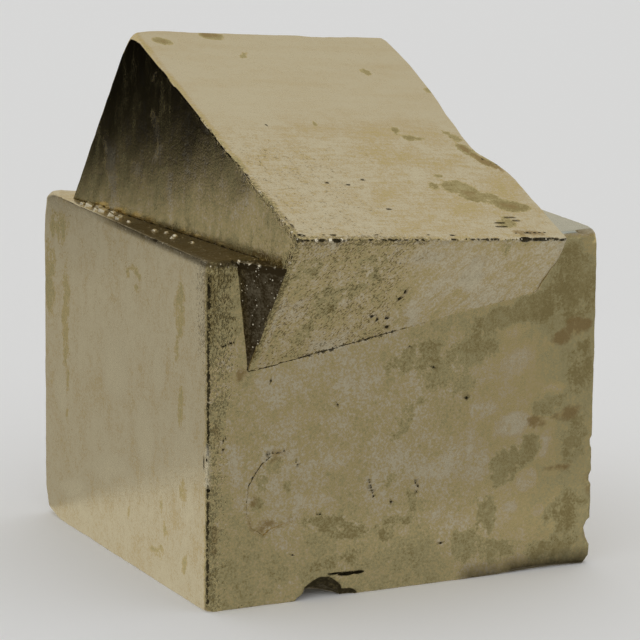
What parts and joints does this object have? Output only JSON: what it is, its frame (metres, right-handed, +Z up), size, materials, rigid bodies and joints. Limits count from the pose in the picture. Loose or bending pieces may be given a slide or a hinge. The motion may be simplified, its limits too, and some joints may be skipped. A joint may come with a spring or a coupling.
{
  "type": "pyrite specimen",
  "caption": "Intergrown cubic pyrite crystals: a leaning block grown out of the top and front of an upright one. A free-standing mineral specimen that rests on a flat base.",
  "frame": {"origin": "centre of the lower crystal's flat base", "axes": "+Z up out of the base, +X to the right along the lower crystal's front face, +Y from the front face to the back"},
  "size_m": [0.0433, 0.0482, 0.0532],
  "materials": {
    "pyrite": "satin"
  },
  "bodies": {
    "root": {"pyrite_crystals": "pyrite"}
  },
  "joints": []
}
